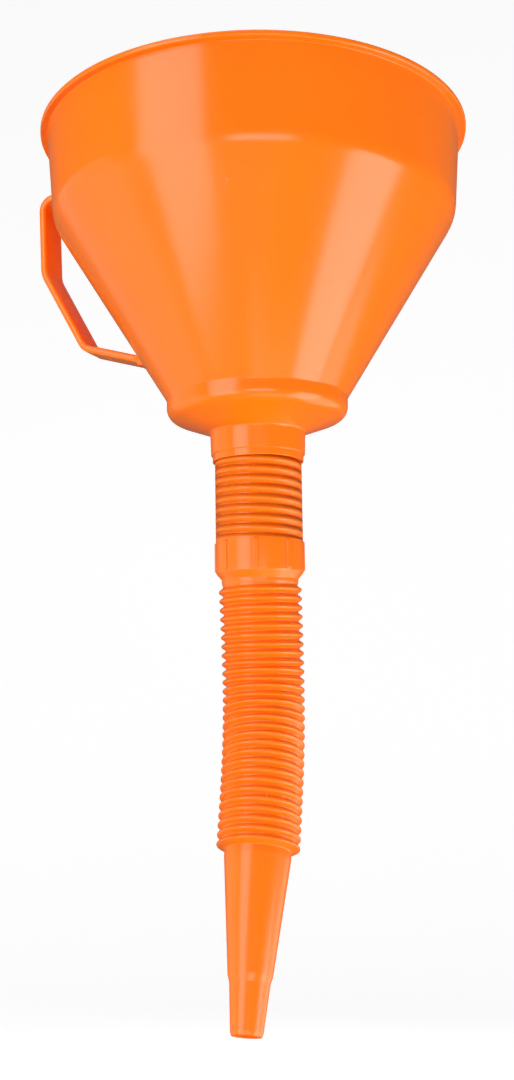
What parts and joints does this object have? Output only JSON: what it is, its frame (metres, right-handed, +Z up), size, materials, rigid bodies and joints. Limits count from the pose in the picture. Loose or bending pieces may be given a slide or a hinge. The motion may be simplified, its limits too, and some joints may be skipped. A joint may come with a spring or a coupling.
{
  "type": "funnel",
  "caption": "Plastic pouring funnel with a strap handle, a lift-out gauze strainer and a screw-in bellows spout that bends and ends in a stepped nozzle.",
  "frame": {"origin": "centre of the rim's top edge, on the bowl's axis", "axes": "+Z up along the bowl's axis, from spout to rim; -Y the side the spout leans towards; the handle is on the -X side, turned a little towards +Y"},
  "size_m": [0.1667, 0.16, 0.3182],
  "materials": {
    "orange_plastic": "moulded polyethylene, semi-gloss",
    "spout_plastic": "blow-moulded polyethylene, semi-gloss",
    "strainer_plastic": "moulded polyethylene, semi-gloss",
    "brass_gauze": "fine woven wire"
  },
  "bodies": {
    "bowl": {"funnel_bowl": "orange_plastic", "carry_handle": "orange_plastic"},
    "strainer": {"strainer_ring": "strainer_plastic", "strainer_gauze": "brass_gauze"},
    "spout_top": {"spout_thread": "spout_plastic", "spout_collar": "spout_plastic"},
    "ring_01": {"spout_ring_01": "spout_plastic"},
    "ring_02": {"spout_ring_02": "spout_plastic"},
    "ring_03": {"spout_ring_03": "spout_plastic"},
    "ring_04": {"spout_ring_04": "spout_plastic"},
    "ring_05": {"spout_ring_05": "spout_plastic"},
    "ring_06": {"spout_ring_06": "spout_plastic"},
    "ring_07": {"spout_ring_07": "spout_plastic"},
    "ring_08": {"spout_ring_08": "spout_plastic"},
    "ring_09": {"spout_ring_09": "spout_plastic"},
    "ring_10": {"spout_ring_10": "spout_plastic"},
    "ring_11": {"spout_ring_11": "spout_plastic"},
    "ring_12": {"spout_ring_12": "spout_plastic"},
    "ring_13": {"spout_ring_13": "spout_plastic"},
    "ring_14": {"spout_ring_14": "spout_plastic"},
    "ring_15": {"spout_ring_15": "spout_plastic"},
    "ring_16": {"spout_ring_16": "spout_plastic"},
    "ring_17": {"spout_ring_17": "spout_plastic"},
    "ring_18": {"spout_ring_18": "spout_plastic"},
    "ring_19": {"spout_ring_19": "spout_plastic"},
    "ring_20": {"spout_ring_20": "spout_plastic"},
    "ring_21": {"spout_ring_21": "spout_plastic"},
    "ring_22": {"spout_ring_22": "spout_plastic"},
    "ring_23": {"spout_ring_23": "spout_plastic"},
    "ring_24": {"spout_ring_24": "spout_plastic"},
    "ring_25": {"spout_ring_25": "spout_plastic"},
    "ring_26": {"spout_ring_26": "spout_plastic"},
    "ring_27": {"spout_ring_27": "spout_plastic"},
    "ring_28": {"spout_ring_28": "spout_plastic"},
    "ring_29": {"spout_ring_29": "spout_plastic"},
    "nozzle": {"spout_nozzle": "spout_plastic"}
  },
  "joints": [
    {"name": "strainer_lift", "type": "slide", "parent": "bowl", "child": "strainer", "axis": [0, 0, 1], "range_m": [0, 0.12]},
    {"name": "spout_turn", "type": "hinge", "parent": "bowl", "child": "spout_top", "pos_m": [0, 0, -0.1243], "axis": [0, 0, 1], "range_deg": [-180, 180]},
    {"name": "spout_bend_side", "type": "hinge", "parent": "spout_top", "child": "ring_01", "pos_m": [0, 0, -0.17025], "axis": [0, -1, 0], "range_deg": [-3.33, 3.33]},
    {"name": "spout_bend_front", "type": "hinge", "parent": "ring_01", "child": "ring_02", "pos_m": [0.00008, 0, -0.17353], "axis": [-0.9997, 0, -0.0236], "range_deg": [-3.33, 3.33]},
    {"name": "ring_03_bend_side", "type": "hinge", "parent": "ring_02", "child": "ring_03", "pos_m": [0.00015, 0, -0.17681], "axis": [0, -1, 0], "range_deg": [-3.33, 3.33]},
    {"name": "ring_04_bend_front", "type": "hinge", "parent": "ring_03", "child": "ring_04", "pos_m": [0.00023, 0, -0.18009], "axis": [-0.9997, 0, -0.0236], "range_deg": [-3.33, 3.33]},
    {"name": "ring_05_bend_side", "type": "hinge", "parent": "ring_04", "child": "ring_05", "pos_m": [0.00031, 0, -0.18337], "axis": [0, -1, 0], "range_deg": [-3.33, 3.33]},
    {"name": "ring_06_bend_front", "type": "hinge", "parent": "ring_05", "child": "ring_06", "pos_m": [0.00038, 0, -0.18665], "axis": [-0.9997, 0, -0.023], "range_deg": [-3.33, 3.33]},
    {"name": "ring_07_bend_side", "type": "hinge", "parent": "ring_06", "child": "ring_07", "pos_m": [0.00046, 0, -0.18992], "axis": [0, -1, 0], "range_deg": [-3.33, 3.33]},
    {"name": "ring_08_bend_front", "type": "hinge", "parent": "ring_07", "child": "ring_08", "pos_m": [0.00052, 0, -0.1932], "axis": [-0.9998, 0, -0.019], "range_deg": [-3.33, 3.33]},
    {"name": "ring_09_bend_side", "type": "hinge", "parent": "ring_08", "child": "ring_09", "pos_m": [0.00058, -0.00008, -0.19648], "axis": [-0.0004, -0.9997, 0.0233], "range_deg": [-3.33, 3.33]},
    {"name": "ring_10_bend_front", "type": "hinge", "parent": "ring_09", "child": "ring_10", "pos_m": [0.00062, -0.00015, -0.19976], "axis": [-0.9999, 0.0002, -0.0116], "range_deg": [-3.33, 3.33]},
    {"name": "ring_11_bend_side", "type": "hinge", "parent": "ring_10", "child": "ring_11", "pos_m": [0.00066, -0.00042, -0.20303], "axis": [-0.0011, -0.9966, 0.0826], "range_deg": [-3.33, 3.33]},
    {"name": "ring_12_bend_front", "type": "hinge", "parent": "ring_11", "child": "ring_12", "pos_m": [0.00067, -0.0007, -0.2063], "axis": [-1, 0.001, -0.0018], "range_deg": [-3.33, 3.33]},
    {"name": "ring_13_bend_side", "type": "hinge", "parent": "ring_12", "child": "ring_13", "pos_m": [0.00067, -0.00122, -0.20954], "axis": [-0.0013, -0.9869, 0.1614], "range_deg": [-3.33, 3.33]},
    {"name": "ring_14_bend_front", "type": "hinge", "parent": "ring_13", "child": "ring_14", "pos_m": [0.00064, -0.00175, -0.21277], "axis": [-0.9999, 0.0029, 0.0097], "range_deg": [-3.33, 3.33]},
    {"name": "ring_15_bend_side", "type": "hinge", "parent": "ring_14", "child": "ring_15", "pos_m": [0.0006, -0.00255, -0.21595], "axis": [-0.0004, -0.97, 0.2431], "range_deg": [-3.33, 3.33]},
    {"name": "ring_16_bend_front", "type": "hinge", "parent": "ring_15", "child": "ring_16", "pos_m": [0.00053, -0.00335, -0.21913], "axis": [-0.9997, 0.0059, 0.022], "range_deg": [-3.33, 3.33]},
    {"name": "ring_17_bend_side", "type": "hinge", "parent": "ring_16", "child": "ring_17", "pos_m": [0.00046, -0.00437, -0.22225], "axis": [0.0012, -0.9502, 0.3117], "range_deg": [-3.33, 3.33]},
    {"name": "ring_18_bend_front", "type": "hinge", "parent": "ring_17", "child": "ring_18", "pos_m": [0.00034, -0.00539, -0.22537], "axis": [-0.9994, 0.0099, 0.0341], "range_deg": [-3.33, 3.33]},
    {"name": "ring_19_bend_side", "type": "hinge", "parent": "ring_18", "child": "ring_19", "pos_m": [0.00022, -0.00655, -0.22843], "axis": [0.0027, -0.9358, 0.3525], "range_deg": [-3.33, 3.33]},
    {"name": "ring_20_bend_front", "type": "hinge", "parent": "ring_19", "child": "ring_20", "pos_m": [0.00007, -0.0077, -0.2315], "axis": [-0.9989, 0.0142, 0.0456], "range_deg": [-3.33, 3.33]},
    {"name": "ring_21_bend_side", "type": "hinge", "parent": "ring_20", "child": "ring_21", "pos_m": [-0.00009, -0.00888, -0.23456], "axis": [0.003, -0.9336, 0.3583], "range_deg": [-3.33, 3.33]},
    {"name": "ring_22_bend_front", "type": "hinge", "parent": "ring_21", "child": "ring_22", "pos_m": [-0.00028, -0.01005, -0.23761], "axis": [-0.9983, 0.0181, 0.0557], "range_deg": [-3.33, 3.33]},
    {"name": "ring_23_bend_side", "type": "hinge", "parent": "ring_22", "child": "ring_23", "pos_m": [-0.00047, -0.01123, -0.24067], "axis": [0.003, -0.9336, 0.3583], "range_deg": [-3.33, 3.33]},
    {"name": "ring_24_bend_front", "type": "hinge", "parent": "ring_23", "child": "ring_24", "pos_m": [-0.00069, -0.0124, -0.24373], "axis": [-0.9977, 0.0212, 0.0638], "range_deg": [-3.33, 3.33]},
    {"name": "ring_25_bend_side", "type": "hinge", "parent": "ring_24", "child": "ring_25", "pos_m": [-0.00091, -0.01357, -0.24678], "axis": [0.003, -0.9336, 0.3583], "range_deg": [-3.33, 3.33]},
    {"name": "ring_26_bend_front", "type": "hinge", "parent": "ring_25", "child": "ring_26", "pos_m": [-0.00115, -0.01475, -0.24983], "axis": [-0.9973, 0.0233, 0.0692], "range_deg": [-3.33, 3.33]},
    {"name": "ring_27_bend_side", "type": "hinge", "parent": "ring_26", "child": "ring_27", "pos_m": [-0.00139, -0.01592, -0.25289], "axis": [0.003, -0.9336, 0.3583], "range_deg": [-3.33, 3.33]},
    {"name": "ring_28_bend_front", "type": "hinge", "parent": "ring_27", "child": "ring_28", "pos_m": [-0.00164, -0.01709, -0.25594], "axis": [-0.9972, 0.0241, 0.0712], "range_deg": [-3.33, 3.33]},
    {"name": "ring_29_bend_side", "type": "hinge", "parent": "ring_28", "child": "ring_29", "pos_m": [-0.00188, -0.01826, -0.25899], "axis": [0.003, -0.9336, 0.3583], "range_deg": [-3.33, 3.33]},
    {"name": "ring_30_bend_front", "type": "hinge", "parent": "ring_29", "child": "nozzle", "pos_m": [-0.00213, -0.01944, -0.26205], "axis": [-0.9972, 0.0241, 0.0712], "range_deg": [-3.33, 3.33]}
  ],
  "couplings": [
    {"joint": "ring_03_bend_side", "follows": "spout_bend_side", "ratio": 1},
    {"joint": "ring_04_bend_front", "follows": "spout_bend_front", "ratio": 1},
    {"joint": "ring_05_bend_side", "follows": "spout_bend_side", "ratio": 1},
    {"joint": "ring_06_bend_front", "follows": "spout_bend_front", "ratio": 1},
    {"joint": "ring_07_bend_side", "follows": "spout_bend_side", "ratio": 1},
    {"joint": "ring_08_bend_front", "follows": "spout_bend_front", "ratio": 1},
    {"joint": "ring_09_bend_side", "follows": "spout_bend_side", "ratio": 1},
    {"joint": "ring_10_bend_front", "follows": "spout_bend_front", "ratio": 1},
    {"joint": "ring_11_bend_side", "follows": "spout_bend_side", "ratio": 1},
    {"joint": "ring_12_bend_front", "follows": "spout_bend_front", "ratio": 1},
    {"joint": "ring_13_bend_side", "follows": "spout_bend_side", "ratio": 1},
    {"joint": "ring_14_bend_front", "follows": "spout_bend_front", "ratio": 1},
    {"joint": "ring_15_bend_side", "follows": "spout_bend_side", "ratio": 1},
    {"joint": "ring_16_bend_front", "follows": "spout_bend_front", "ratio": 1},
    {"joint": "ring_17_bend_side", "follows": "spout_bend_side", "ratio": 1},
    {"joint": "ring_18_bend_front", "follows": "spout_bend_front", "ratio": 1},
    {"joint": "ring_19_bend_side", "follows": "spout_bend_side", "ratio": 1},
    {"joint": "ring_20_bend_front", "follows": "spout_bend_front", "ratio": 1},
    {"joint": "ring_21_bend_side", "follows": "spout_bend_side", "ratio": 1},
    {"joint": "ring_22_bend_front", "follows": "spout_bend_front", "ratio": 1},
    {"joint": "ring_23_bend_side", "follows": "spout_bend_side", "ratio": 1},
    {"joint": "ring_24_bend_front", "follows": "spout_bend_front", "ratio": 1},
    {"joint": "ring_25_bend_side", "follows": "spout_bend_side", "ratio": 1},
    {"joint": "ring_26_bend_front", "follows": "spout_bend_front", "ratio": 1},
    {"joint": "ring_27_bend_side", "follows": "spout_bend_side", "ratio": 1},
    {"joint": "ring_28_bend_front", "follows": "spout_bend_front", "ratio": 1},
    {"joint": "ring_29_bend_side", "follows": "spout_bend_side", "ratio": 1},
    {"joint": "ring_30_bend_front", "follows": "spout_bend_front", "ratio": 1}
  ]
}
